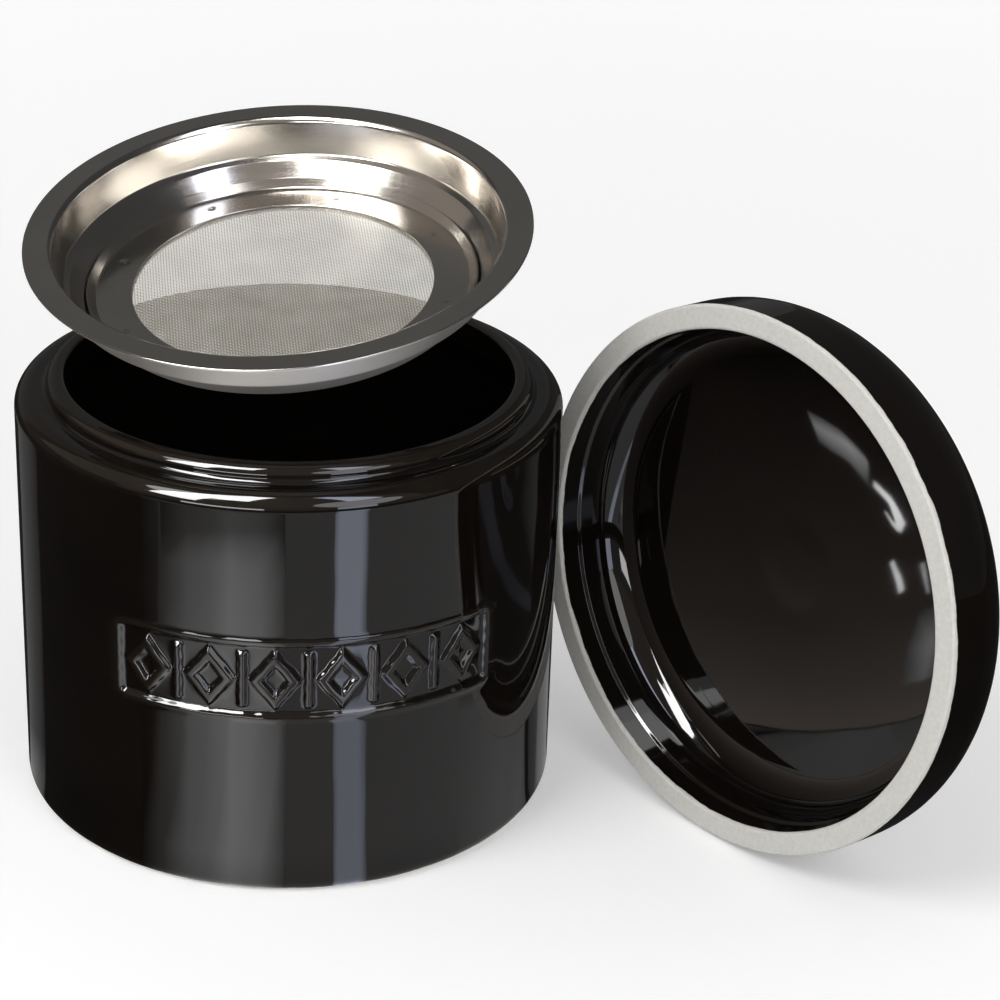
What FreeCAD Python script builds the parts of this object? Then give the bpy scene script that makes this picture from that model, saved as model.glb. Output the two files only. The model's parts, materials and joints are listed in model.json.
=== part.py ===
import FreeCAD, Part
import math
import os

# Stoneware jar for kitchen fat: a glazed crock, a lift-out strainer and a loose lid.
# Millimetres, +Z up. The origin is the centre of the crock's foot, on the table.
# The crock's relief panel faces -Y. The lid stands on its side wall and leans on
# the crock, and the strainer is lifted and tipped towards the front.

Vector = FreeCAD.Vector

# Crock
crock_radius = 65.0
crock_wall = 6.0
crock_floor = 6.5
floor_corner = 9.0
ledge_height = 101.5
shoulder_round = 4.0
ledge_width = 7.5
collar_rise = 3.6
collar_wall = 4.35
collar_round = 1.2
crease_round = 0.8
mouth_round = 0.8
neck_length = 6.5
neck_taper = 6.0
neck_round = 6.0
foot_round = 1.8
foot_ring_width = 8.0
foot_recess = 1.2

# Relief panel on the crock's front
panel_width = 91.0
panel_height = 18.0
panel_middle = 56.0
panel_depth = 0.8
lozenge_count = 6
lozenge_width = 11.4
lozenge_height = 14.0
stroke = 2.0
bar_height = 14.0

# Strainer
sheet = 0.6
flange_overhang = 2.0
mouth_clearance = 0.45
wall_depth = 8.8
wall_taper = 1.7
step_width = 1.8
step_drop = 0.8
cone_depth = 6.0
cone_taper = 3.6
sheet_bend = 0.7
lip_width = 8.5
seat_gap = 0.2

# Mesh and the ring that clamps it
mesh_thickness = 0.4
mesh_edge_gap = 1.6
mesh_pitch = 4.0
mesh_gap = 3.0
clamp_rise = 2.6
clamp_gap = 0.15

# Lid
lid_overhang = 1.0
lid_height = 24.2
crown_rise = 1.3
lid_round = 14.0
lid_clearance = 0.7
ring_edge_round = 0.8
skirt_step_depth = 6.0
skirt_step = 0.7
cove_depth = 17.0
cove_round = 5.0
crown_thickness = 5.6
dimple_radius = 10.0
dimple_edge = 4.0
dimple_round = 5.0
dimple_depth = 0.5

# How the strainer is held above the mouth
tip_angle = 11.8
tip_bearing = -115.0
tip_reach = 182.0

# How the lid stands beside the crock
lid_heading = 33.6
lid_lean = 3.6
lean_bearing = 9.7
lean_gap = 0.3

# What follows from the sizes above
rim_height = ledge_height + collar_rise
collar_radius = crock_radius - ledge_width
mouth_radius = collar_radius - collar_wall
flange_radius = collar_radius + flange_overhang
inner_radius = crock_radius - crock_wall
pan_wall_radius = mouth_radius - mouth_clearance - sheet
lid_radius = crock_radius + lid_overhang
ring_inner_radius = flange_radius + lid_clearance


def fillet_points(before, corner, after, radius):
    """Start, middle and end of the arc that rounds one corner of an outline."""
    to_before = (before - corner).normalize()
    to_after = (after - corner).normalize()
    half = to_before.getAngle(to_after) / 2.0
    reach = radius / math.tan(half)
    centre_way = (to_before + to_after).normalize()
    centre = corner + centre_way * (radius / math.sin(half))
    return corner + to_before * reach, centre - centre_way * radius, corner + to_after * reach


def outline_wire(corners):
    """A closed wire in the XZ plane from corners given as (radius, height, rounding)."""
    points = [Vector(r, 0, z) for r, z, rounding in corners]
    count = len(points)
    stretches = []
    for index, (r, z, rounding) in enumerate(corners):
        corner = points[index]
        if rounding > 0:
            before = points[index - 1]
            after = points[(index + 1) % count]
            stretches.append(fillet_points(before, corner, after, rounding))
        else:
            stretches.append((corner, None, corner))
    edges = []
    for index, (start, middle, end) in enumerate(stretches):
        if middle is not None:
            edges.append(Part.Arc(start, middle, end).toShape())
        following = stretches[(index + 1) % count][0]
        if end.distanceToPoint(following) > 1e-6:
            edges.append(Part.LineSegment(end, following).toShape())
    return Part.Wire(edges)


def turned(corners):
    """The solid that a closed outline sweeps in one turn about Z."""
    face = Part.Face(outline_wire(corners))
    return face.revolve(Vector(0, 0, 0), Vector(0, 0, 1), 360)


def offset_corner(before, corner, after, distance):
    """The corner moved sideways by a distance, square to both of its runs."""
    sides = []
    for start, end in ((before, corner), (corner, after)):
        if start is None or end is None:
            continue
        run = (end - start).normalize()
        sides.append(Vector(-run.z, 0, run.x))
    if len(sides) == 1:
        return corner + sides[0] * distance
    middle = (sides[0] + sides[1]).normalize()
    return corner + middle * (distance / middle.dot(sides[0]))


def pressed_sheet(path, thickness, bend):
    """A turned piece of sheet: the path is its upper face, the sheet lies outside it."""
    points = [Vector(r, 0, z) for r, z in path]
    last = len(points) - 1
    upper = []
    under = []
    for index, corner in enumerate(points):
        before = points[index - 1] if index > 0 else None
        after = points[index + 1] if index < last else None
        moved = offset_corner(before, corner, after, thickness)
        upper_bend = 0.0
        under_bend = 0.0
        if before is not None and after is not None:
            turn = (corner - before).cross(after - corner).y
            upper_bend = bend + thickness if turn < 0 else bend
            under_bend = bend if turn < 0 else bend + thickness
        upper.append((corner.x, corner.z, upper_bend))
        under.append((moved.x, moved.z, under_bend))
    return turned(upper + under[::-1])


def crock_body():
    """The cast jar: foot ring, straight wall, shoulder, collar, neck and inside."""
    foot_inner = crock_radius - foot_round - foot_ring_width
    return turned([
        (0.0, foot_recess, 0.0),
        (foot_inner - foot_recess, foot_recess, 0.0),
        (foot_inner, 0.0, 0.0),
        (crock_radius, 0.0, foot_round),
        (crock_radius, ledge_height, shoulder_round),
        (collar_radius, ledge_height, crease_round),
        (collar_radius, rim_height, collar_round),
        (mouth_radius, rim_height, mouth_round),
        (mouth_radius, rim_height - neck_length, 0.0),
        (inner_radius, rim_height - neck_length - neck_taper, neck_round),
        (inner_radius, crock_floor, floor_corner),
        (0.0, crock_floor, 0.0),
    ])


def front_band(inner, outer, width, height):
    """A curved slab on the crock's front, between two radii."""
    angle = math.degrees(width / crock_radius)
    slab = Part.makeCylinder(outer, height, Vector(0, 0, 0), Vector(0, 0, 1), angle)
    slab = slab.cut(Part.makeCylinder(inner, height))
    slab.rotate(Vector(0, 0, 0), Vector(0, 0, 1), -90.0 - angle / 2.0)
    slab.translate(Vector(0, 0, panel_middle - height / 2.0))
    return slab


def prism_on_front(points):
    """A prism from behind the panel's floor to before the wall, from (across, up) points."""
    behind = crock_radius - 2.0 * panel_depth
    before = crock_radius + 2.0 * panel_depth
    corners = [Vector(across, -behind, panel_middle + up) for across, up in points]
    face = Part.Face(Part.makePolygon(corners + corners[:1]))
    return face.extrude(Vector(0, behind - before, 0))


def lozenge():
    """One hollow lozenge of the relief, straight in front."""
    half_width = lozenge_width / 2.0
    half_height = lozenge_height / 2.0
    slant = math.hypot(half_width, half_height)
    inner_width = half_width - stroke * slant / half_height
    inner_height = half_height - stroke * slant / half_width
    outer = [(-half_width, 0), (0, -half_height), (half_width, 0), (0, half_height)]
    inner = [(-inner_width, 0), (0, -inner_height), (inner_width, 0), (0, inner_height)]
    return prism_on_front(outer).cut(prism_on_front(inner))


def upright_bar():
    """One upright bar of the relief, straight in front."""
    half = stroke / 2.0
    rise = bar_height / 2.0
    return prism_on_front([(-half, -rise), (half, -rise), (half, rise), (-half, rise)])


def crock():
    """The jar with its sunk panel and the row of lozenges and bars left standing in it."""
    floor_of_panel = crock_radius - panel_depth
    recess = front_band(floor_of_panel, crock_radius + panel_depth, panel_width, panel_height)
    pitch = math.degrees(panel_width / lozenge_count / crock_radius)
    for index in range(lozenge_count):
        figure = lozenge()
        turn = pitch * (index - (lozenge_count - 1) / 2.0)
        figure.rotate(Vector(0, 0, 0), Vector(0, 0, 1), turn)
        recess = recess.cut(figure)
    for index in range(1, lozenge_count):
        figure = upright_bar()
        figure.rotate(Vector(0, 0, 0), Vector(0, 0, 1), pitch * (index - lozenge_count / 2.0))
        recess = recess.cut(figure)
    return crock_body().cut(recess)


def pan_path():
    """Upper face of the strainer's pan, from the flange's edge to the lip's edge."""
    wall_foot = pan_wall_radius - wall_taper
    cone_top = wall_foot - step_width
    cone_foot = cone_top - cone_taper
    wall_foot_height = sheet - wall_depth
    cone_top_height = wall_foot_height - step_drop
    lip_height = cone_top_height - cone_depth
    return [
        (flange_radius, sheet),
        (pan_wall_radius, sheet),
        (wall_foot, wall_foot_height),
        (cone_top, cone_top_height),
        (cone_foot, lip_height),
        (cone_foot - lip_width, lip_height),
    ]


def strainer_pan():
    """Pressed sheet pan: flange, steep wall, small step, cone and an inward lip."""
    return pressed_sheet(pan_path(), sheet, sheet_bend)


def strainer_mesh():
    """The straining disc on the pan's lip, as one flat net with square gaps."""
    cone_foot, lip_height = pan_path()[4]
    lip_edge = pan_path()[5][0]
    radius = cone_foot - mesh_edge_gap
    face = Part.Face(Part.Wire(Part.makeCircle(radius)))
    rows = int(lip_edge / mesh_pitch)
    half = mesh_gap / 2.0
    holes = []
    for column in range(-rows, rows + 1):
        for row in range(-rows, rows + 1):
            across = column * mesh_pitch
            along = row * mesh_pitch
            if math.hypot(abs(across) + half, abs(along) + half) > lip_edge:
                continue
            corner = Vector(across - half, along - half, 0)
            holes.append(Part.makePlane(mesh_gap, mesh_gap, corner))
    net = face.cut(Part.Compound(holes))
    solid = net.Faces[0].extrude(Vector(0, 0, mesh_thickness))
    solid.translate(Vector(0, 0, lip_height))
    return solid


def mesh_clamp_ring():
    """The pressed ring that holds the mesh down on the lip, with a rim up the cone."""
    cone_top, cone_top_height = pan_path()[3]
    cone_foot, lip_height = pan_path()[4]
    lip_edge = pan_path()[5][0]
    taper = (cone_top - cone_foot) / (cone_top_height - lip_height)
    across = math.hypot(1.0, taper)
    base = lip_height + mesh_thickness + sheet
    corner = cone_foot + taper * (base - lip_height) - (sheet + clamp_gap) * across
    path = [(corner + taper * clamp_rise, base + clamp_rise), (corner, base), (lip_edge, base)]
    return pressed_sheet(path, sheet, sheet_bend)


def lid_shape():
    """The lid as it lies on the ledge: its ring is at height 0, its crown is up."""
    skirt_inner = ring_inner_radius - skirt_step
    crown_under = lid_height + crown_rise - crown_thickness
    return turned([
        (0.0, crown_under + dimple_depth, 0.0),
        (dimple_radius, crown_under + dimple_depth, dimple_round),
        (dimple_radius + dimple_edge, crown_under, dimple_round),
        (skirt_inner, cove_depth, cove_round),
        (skirt_inner, skirt_step_depth + skirt_step, 0.0),
        (ring_inner_radius, skirt_step_depth, 0.0),
        (ring_inner_radius, 0.0, ring_edge_round),
        (lid_radius, 0.0, ring_edge_round),
        (lid_radius, lid_height, lid_round),
        (0.0, lid_height + crown_rise, 0.0),
    ])


def lift_strainer(shape):
    """Bring a strainer piece from its seat on the collar to where it is held up."""
    shape.translate(Vector(0, 0, rim_height + seat_gap))
    bearing = math.radians(tip_bearing)
    low_side = Vector(math.cos(bearing), math.sin(bearing), 0)
    drop = tip_reach * math.tan(math.radians(tip_angle) / 2.0)
    pivot = low_side * tip_reach + Vector(0, 0, rim_height + seat_gap - drop)
    axis = Vector(-low_side.y, low_side.x, 0)
    shape.rotate(pivot, axis, tip_angle)
    return shape


def stand_lid(shape):
    """Stand the lid on its side wall, its hollow to the front, leaning on the crock."""
    shape.rotate(Vector(0, 0, 0), Vector(0, 1, 0), 90.0 + lid_lean)
    shape.rotate(Vector(0, 0, 0), Vector(0, 0, 1), lid_heading)
    lean = math.radians(lid_lean)
    level_part = (lid_radius - lid_round) * math.cos(lean)
    leaned_part = (lid_height - lid_round) * math.sin(lean)
    centre_height = level_part + leaned_part + lid_round
    heading = math.radians(lid_heading)
    bearing = math.radians(lean_bearing)
    touching = Vector(math.cos(bearing), math.sin(bearing), 0) * (crock_radius + lean_gap)
    centre = touching - Vector(-math.sin(heading), math.cos(heading), 0) * lid_radius
    shape.translate(Vector(centre.x, centre.y, centre_height))
    return shape


def main():
    pieces = {
        "crock": crock(),
        "lid": stand_lid(lid_shape()),
        "strainer_pan": lift_strainer(strainer_pan()),
        "strainer_mesh": lift_strainer(strainer_mesh()),
        "mesh_clamp_ring": lift_strainer(mesh_clamp_ring()),
    }
    os.makedirs("parts", exist_ok=True)
    for name, shape in pieces.items():
        shape.exportStep("parts/" + name + ".step")
        box = shape.BoundBox
        print(name, shape.isValid(), len(shape.Solids), "volume", round(shape.Volume, 1),
              "x", round(box.XMin, 2), round(box.XMax, 2), "y", round(box.YMin, 2), round(box.YMax, 2),
              "z", round(box.ZMin, 2), round(box.ZMax, 2))


main()
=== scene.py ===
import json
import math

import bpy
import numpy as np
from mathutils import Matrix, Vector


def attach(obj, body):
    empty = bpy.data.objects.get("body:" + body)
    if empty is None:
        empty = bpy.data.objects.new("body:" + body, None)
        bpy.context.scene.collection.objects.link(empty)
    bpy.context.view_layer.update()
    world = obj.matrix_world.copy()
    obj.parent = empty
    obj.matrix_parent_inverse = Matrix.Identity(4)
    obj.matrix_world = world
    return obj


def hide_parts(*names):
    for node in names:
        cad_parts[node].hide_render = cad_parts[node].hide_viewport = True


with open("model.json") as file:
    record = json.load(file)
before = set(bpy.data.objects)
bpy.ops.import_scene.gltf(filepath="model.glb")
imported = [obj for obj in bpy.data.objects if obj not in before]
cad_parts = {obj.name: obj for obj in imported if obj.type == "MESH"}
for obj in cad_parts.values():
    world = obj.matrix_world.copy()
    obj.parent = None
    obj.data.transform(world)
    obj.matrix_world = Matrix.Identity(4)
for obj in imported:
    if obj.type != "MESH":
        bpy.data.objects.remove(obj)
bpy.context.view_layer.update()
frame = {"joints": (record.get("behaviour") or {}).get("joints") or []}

# %% [markdown]
# # A stoneware jar for kitchen fat
# The jar is a thick glazed crock. A pressed steel strainer with a wire cloth drops into its mouth,
# and a heavy lid closes over both. Here the strainer is held above the mouth and the lid stands
# beside the crock, leaning on it, with its hollow to the front.
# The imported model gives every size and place, and this script dresses it: it makes smooth,
# detailed pieces in the same places and gives them finishes. Lengths are written in millimetres,
# as a maker would write them, and turned to metres when a mesh is made. The studio is in metres.

MM = 0.001


def put_in_scene(name, data):
    """A new object with this mesh, lamp or camera as its data."""
    thing = bpy.data.objects.new(name, data)
    bpy.context.scene.collection.objects.link(thing)
    return thing


# %% [markdown]
# ## Outlines with rounded corners
# All the pieces but the wire cloth are round, so each is an outline turned about its axis, as on
# a potter's wheel or a spinning lathe. Clay, glaze and pressed sheet have no sharp corner, so an
# outline is written as corners with a rounding, and a helper puts an arc at each. A Bevel
# modifier could round the corners afterwards, but it gives one width to all of them.
# The helper also notes where an edge is convex, because glaze runs thin there and shows brown.


# %% Outline helper
def rounded_outline(corners, arc_step=10.0, hold=0.15, longest=6.0):
    """Points (radius, height, edge) in mm; edge is 1 on a tight convex corner and 0 on a flat run."""
    points = []
    for index, (radius, height, rounding) in enumerate(corners):
        corner = np.array((radius, height), float)
        if rounding == 0:
            points.append((radius, height, 0.0))
            continue
        back = np.array(corners[index - 1][:2]) - corner
        ahead = np.array(corners[(index + 1) % len(corners)][:2]) - corner
        back = back / np.linalg.norm(back)
        ahead = ahead / np.linalg.norm(ahead)
        half = math.acos(np.clip(back @ ahead, -1, 1)) / 2
        reach = rounding / math.tan(half)
        middle = (back + ahead) / np.linalg.norm(back + ahead)
        centre = corner + middle * rounding / math.sin(half)
        start = corner + back * reach
        side = 1.0 if -back[0] * ahead[1] + back[1] * ahead[0] > 0 else -1.0
        sweep = side * (math.pi - 2 * half)
        first = math.atan2(start[1] - centre[1], start[0] - centre[0])
        steps = max(3, math.ceil(abs(math.degrees(sweep)) / arc_step))
        tight = side * min(1.0, 1.6 / rounding)
        points.append((*(start + back * hold), 0.0))
        for step in range(steps + 1):
            angle = first + sweep * step / steps
            strength = tight * (0.3 + 0.7 * math.sin(math.pi * step / steps))
            points.append((centre[0] + rounding * math.cos(angle),
                           centre[1] + rounding * math.sin(angle), strength))
        points.append((*(corner + ahead * (reach + hold)), 0.0))
    filled = [points[0]]
    for point in points[1:]:
        last = np.array(filled[-1])
        gap = math.hypot(point[0] - last[0], point[1] - last[1])
        pieces = max(1, math.ceil(gap / longest))
        for k in range(1, pieces):
            filled.append(tuple(last + (np.array(point) - last) * k / pieces))
        filled.append(point)
    return np.array(filled)


# %% [markdown]
# ## From an outline to a closed skin
# The outline is carried round the axis in steps. The last step joins the first, so there is no
# seam, and a point on the axis becomes one single vertex, so the poles are closed. Each vertex
# also keeps numbers that the finishes read: its place on the piece before the piece is tilted
# into position, and things such as how thin the glaze is there.


# %% Skin helper
def turned_skin(name, radius, height, bearings, marks, closed=False):
    """A mesh object from grids of radius and height in mm, one row for each outline point."""
    rows, steps = radius.shape
    columns = np.arange(steps)
    following = (columns + 1) % steps
    starts, poles, points = [], [], []
    values = {key: [] for key in marks}
    total = 0
    for row in range(rows):
        pole = radius[row].max() < 1e-6
        taken = columns[:1] if pole else columns
        starts.append(total)
        poles.append(pole)
        points.append(np.stack((radius[row, taken] * np.cos(bearings[taken]),
                                radius[row, taken] * np.sin(bearings[taken]), height[row, taken]), 1))
        for key in marks:
            values[key].append(marks[key][row, taken])
        total += len(taken)
    faces = []
    for row in range(rows if closed else rows - 1):
        other = (row + 1) % rows
        a, b = starts[row], starts[other]
        if poles[row]:
            faces += np.stack((0 * columns + a, b + following, b + columns), 1).tolist()
        elif poles[other]:
            faces += np.stack((a + columns, a + following, 0 * columns + b), 1).tolist()
        else:
            faces += np.stack((a + columns, a + following, b + following, b + columns), 1).tolist()
    points = np.concatenate(points) * MM
    mesh = bpy.data.meshes.new(name)
    mesh.from_pydata(points.tolist(), [], faces)
    mesh.attributes.new("own", "FLOAT_VECTOR", "POINT").data.foreach_set("vector", points.ravel())
    for key, lists in values.items():
        mesh.attributes.new(key, "FLOAT", "POINT").data.foreach_set("value", np.concatenate(lists))
    mesh.shade_smooth()
    return put_in_scene(name, mesh)


def even_bearings(steps):
    return np.linspace(0, 2 * math.pi, steps, endpoint=False)


def grids(outline, bearings):
    """Radius, height and edge of an outline, repeated for every bearing."""
    return [np.repeat(outline[:, k:k + 1], len(bearings), 1) for k in range(3)]


# %% [markdown]
# ## The crock's outline
# The crock is slip-cast: a straight wall, a rounded shoulder, a flat ledge for the lid, a low
# collar, and a mouth that narrows a little so that the strainer's pan fits it closely. Under it
# a foot ring stands on the table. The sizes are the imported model's own.

# %% Crock sizes
crock_radius = 65.0
ledge_height = 101.5
collar_radius = 57.5
rim_height = 105.1
mouth_radius = 53.15
inside_radius = 59.0
foot_recess = 1.2
foot_inside = 55.2
crock_floor = 6.5
neck_foot = 98.6
neck_end = 92.6

crock_corners = [
    (0.0, foot_recess, 0), (54.0, foot_recess, 0.5), (foot_inside, 0.0, 0.4), (crock_radius, 0.0, 3.0),
    (crock_radius, ledge_height, 4.0), (collar_radius, ledge_height, 1.4),
    (collar_radius, rim_height, 2.3), (mouth_radius, rim_height, 0.8), (mouth_radius, neck_foot, 0.6),
    (inside_radius, neck_end, 6.0), (inside_radius, crock_floor, 9.0), (0.0, crock_floor, 0),
]
crock_outline = rounded_outline(crock_corners)

# %% [markdown]
# ## The relief on the crock's front
# A sunk panel with a row of hollow lozenges parted by upright bars stands on the front. It was
# cut in the mould, and the thick glaze has melted over it, so every edge is soft, a faint bead
# runs round the panel and the hollows are filled a little. Cutting it with Boolean modifiers
# gives crisp edges, so here the wall is moved in and out by a height worked out for each vertex
# from its distance to the figures, as a carver thinks of relief: background, then raised strokes.

# %% Relief sizes
panel_width = 91.0
panel_height = 18.0
panel_middle = 56.0
panel_depth = 0.8
panel_edge = 1.1
bead_height = 0.3
bead_width = 0.8
figure_count = 6
lozenge_half = (6.1, 7.4)
bar_half = (1.0, 7.0)
stroke = 2.5
stroke_height = 0.9
fillet_height = 0.18
fillet_reach = 0.9


# %% Relief heights
def soft_step(low, high, value):
    share = np.clip((value - low) / (high - low), 0, 1)
    return share * share * (3 - 2 * share)


def box_distance(across, up, half, corner):
    """How far a point lies outside a box with rounded corners; less than 0 inside."""
    out = np.stack((np.abs(across) - half[0] + corner, np.abs(up) - half[1] + corner))
    return np.hypot(*np.maximum(out, 0)) + np.minimum(out.max(0), 0) - corner


def relief_height(across, up):
    """Height in mm of the panel and its figures over the crock's wall."""
    sag = 0.12 * np.sin(across * 0.9 + up * 0.7) * np.sin(across * 0.37 - up * 1.1)
    panel = box_distance(across, up, (panel_width / 2, panel_height / 2), 1.4) + sag * 0.6
    ground = -panel_depth * soft_step(0.15, -panel_edge, panel)
    bead = bead_height * np.exp(-((panel - 0.75) / bead_width) ** 2)
    pitch = panel_width / figure_count
    wide, tall = lozenge_half
    slant = wide * tall / math.hypot(wide, tall)
    away = np.full(across.shape, 99.0)
    for index in range(figure_count):
        x = across - pitch * (index - (figure_count - 1) / 2)
        inside = (np.abs(x) / wide + np.abs(up) / tall - 1) * slant
        away = np.minimum(away, np.abs(inside + stroke / 2) - stroke / 2)
    for index in range(1, figure_count):
        away = np.minimum(away, box_distance(across - pitch * (index - figure_count / 2), up, bar_half, 0.6))
    strokes = stroke_height * soft_step(0.45, -0.75, away + sag)
    fillet = fillet_height * np.exp(-np.maximum(away, 0) / fillet_reach)
    return ground + np.where(panel < 0.2, strokes + fillet, 0) + bead


trial = relief_height(*np.meshgrid(np.arange(-50, 50, 0.3), np.arange(-12, 12, 0.3)))
print("relief from", round(float(trial.min()), 2), "to", round(float(trial.max()), 2), "mm")

# %% [markdown]
# ## The crock
# The mesh needs a fine net only under the relief, so the rows are 0.3 mm apart there and the
# steps round the axis are a third of a degree on the front and two degrees elsewhere. That keeps
# the relief sharp enough to catch light without spending faces on the plain back.


# %% Crock mesh
def add_rows(outline, low, high, spacing):
    """The outline with extra rows up the outer wall."""
    on_wall = [k for k in range(len(outline) - 1)
               if abs(outline[k, 0] - crock_radius) < 0.01 and abs(outline[k + 1, 0] - crock_radius) < 0.01]
    keep = [k for k in range(len(outline)) if not (k in on_wall and low < outline[k, 1] < high)]
    rows = np.arange(low, high + spacing / 2, spacing)
    extra = np.stack((rows * 0 + crock_radius, rows, rows * 0), 1)
    place = next(i for i, k in enumerate(keep) if outline[k, 1] >= high and outline[k, 0] > crock_radius - 0.01)
    kept = outline[keep]
    return np.concatenate((kept[:place], extra, kept[place:]))


front = math.radians(-90)
fine_half = 41.5
fine_step = 0.33
coarse_steps = 138
relief_half = 12.5
row_spacing = 0.32
glaze_blend = 4.0
foot_glaze_line = 0.9
foot_clay_from = 54.6

fine = np.radians(np.arange(-fine_half, fine_half, fine_step)) + front
coarse = np.linspace(fine[-1], fine[0] + 2 * math.pi, coarse_steps + 1)[1:-1]
crock_bearings = np.concatenate((fine, coarse))
crock_outline = add_rows(crock_outline, panel_middle - relief_half, panel_middle + relief_half, row_spacing)
radius, height, edge = grids(crock_outline, crock_bearings)
round_wall = (radius > crock_radius - 0.001) & (np.abs(height - panel_middle) < relief_half + 0.1)
turn_from_front = (crock_bearings - front + math.pi) % (2 * math.pi) - math.pi
across = np.repeat((turn_from_front * crock_radius)[None, :], len(radius), 0)
rise = np.where(round_wall & (np.abs(across) < 50), relief_height(across, height - panel_middle), 0)
radius = radius + rise
thin = np.clip(edge, 0, 1) + np.where(rise > 0.06, 0.5 * rise / bead_height, 0) * round_wall
on_foot = (radius > 53.5) & (height < 3)
into_clay = np.minimum(foot_glaze_line - height, radius - foot_clay_from)
bare = np.where(on_foot, np.clip(0.5 + into_clay / glaze_blend, 0, 1), 0)
crock = turned_skin("crock_glazed", radius, height, crock_bearings, {"thin": thin, "bare": bare})
print("crock:", len(crock.data.polygons), "faces")

# %% [markdown]
# ## The lid
# The lid is a shallow cap with a thick wall. Its rim is a flat ring without glaze, because the
# lid stood on that ring in the kiln, and a glazed ring would have stuck to the shelf. A small
# step inside the rim and a cove lead to a gently domed bowl. It is turned like the crock, then
# tipped onto its side wall: a matrix moves the mesh, so the object itself stays at the origin.

# %% Lid sizes and mesh
lid_radius = 66.0
lid_height = 24.2
lid_round = 14.0
crown_height = 25.5
hollow_radius = 59.5
hollow_depth = 20.6
rim_inside = 60.2
rim_step = 6.0
lid_glaze_line = 1.0

lid_corners = [
    (0.0, hollow_depth, 0), (5.5, hollow_depth, 26.0), (11.5, 20.9, 26.0), (hollow_radius, 18.6, 8.5),
    (hollow_radius, 6.7, 0.35), (rim_inside, rim_step, 0.35), (rim_inside, 0.0, 0.8),
    (lid_radius, 0.0, 0.8), (lid_radius, lid_height, lid_round), (0.0, crown_height, 0),
]
lid_bearings = even_bearings(240)
radius, height, edge = grids(rounded_outline(lid_corners, arc_step=6.0, longest=3.0), lid_bearings)
near_ring = (radius > 59.0) & (height < 4)
bare = np.where(near_ring, np.clip(0.5 + (lid_glaze_line - height) / glaze_blend, 0, 1), 0)
lid = turned_skin("lid_glazed", radius, height, lid_bearings, {"thin": np.clip(edge, 0, 1), "bare": bare})

lid_heading = math.radians(33.6)
lid_lean = math.radians(3.6)
lean_bearing = math.radians(9.7)
lean_gap = 0.3
level_part = (lid_radius - lid_round) * math.cos(lid_lean)
leaned_part = (lid_height - lid_round) * math.sin(lid_lean)
touching = Vector((math.cos(lean_bearing), math.sin(lean_bearing), 0)) * (crock_radius + lean_gap)
lid_centre = touching - Vector((-math.sin(lid_heading), math.cos(lid_heading), 0)) * lid_radius
lid_centre.z = level_part + leaned_part + lid_round
lid_stand = (Matrix.Translation(lid_centre * MM) @ Matrix.Rotation(lid_heading, 4, "Z")
             @ Matrix.Rotation(math.radians(90) + lid_lean, 4, "Y"))
lid.data.transform(lid_stand)
print("lid centre in mm:", [round(v, 2) for v in lid_centre])

# %% [markdown]
# ## Sheet metal
# The strainer's pan and the ring that clamps the wire cloth are pressed from steel sheet 0.6 mm
# thick. Their outline is one path and its parallel copy one thickness away, as in a real press
# tool, where the punch and the die differ by the sheet. A Solidify modifier could thicken a
# single skin, but this way the inner and outer bends have their own true radii.


# %% Sheet helper
def sheet_corners(path, thickness, bends):
    """Corners of a pressed sheet: the path is its upper face, the sheet lies outside it.

    bends gives the inner radius of each bend along the path.
    """
    points = np.array(path, float)
    runs = np.diff(points, axis=0)
    runs /= np.linalg.norm(runs, axis=1)[:, None]
    sides = np.stack((-runs[:, 1], runs[:, 0]), 1)
    upper, under = [], []
    for k, corner in enumerate(points):
        first, second = sides[max(k - 1, 0)], sides[min(k, len(sides) - 1)]
        middle = (first + second) / np.linalg.norm(first + second)
        moved = corner + middle * thickness / (middle @ first)
        above = below = 0.12
        if 0 < k < len(points) - 1:
            left = runs[k - 1][0] * runs[k][1] - runs[k - 1][1] * runs[k][0] > 0
            above = bends[k - 1] + (thickness if left else 0)
            below = bends[k - 1] + (0 if left else thickness)
        upper.append((*corner, above))
        under.append((*moved, below))
    return upper + under[::-1]


sheet = 0.6

# %% [markdown]
# ## The strainer's pan
# From its edge inwards the pan has a flat flange that sits on the collar, a steep wall, a narrow
# step, a cone, and a lip that carries the wire cloth. The press rolls the flange over a wider bend
# than the step, so each bend has its own radius. The pan is buffed on the inside, where the fat is
# poured, and left satin on the outside, as it came from the press.

# %% Pan mesh
pan_path = [(58.5, 0.6), (52.1, 0.6), (50.3, -8.6), (48.8, -9.4), (43.6, -15.0), (35.0, -15.0)]
pan_bearings = even_bearings(216)
pan_bends = (1.1, 0.5, 0.5, 0.8)
pan_outline = rounded_outline(sheet_corners(pan_path, sheet, pan_bends), arc_step=10.0, hold=0.08, longest=3.0)
radius, height, _ = grids(pan_outline, pan_bearings)
lip_row = int(np.argmin(pan_outline[:, 0] + (pan_outline[:, 1] < -15.3) * 5))
inside_row = (np.arange(len(pan_outline)) <= lip_row).astype(float)
buffed = np.repeat(inside_row[:, None], len(pan_bearings), 1)
pan = turned_skin("pan_pressed", radius, height, pan_bearings, {"buffed": buffed}, closed=True)
print("pan:", len(pan.data.polygons), "faces")

# %% [markdown]
# ## The clamp ring
# A second pressed ring lies on the wire cloth and holds it down on the pan's lip, and its rim
# runs up the cone. It is spot-welded through the cloth, and each weld leaves a small round dent.

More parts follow.
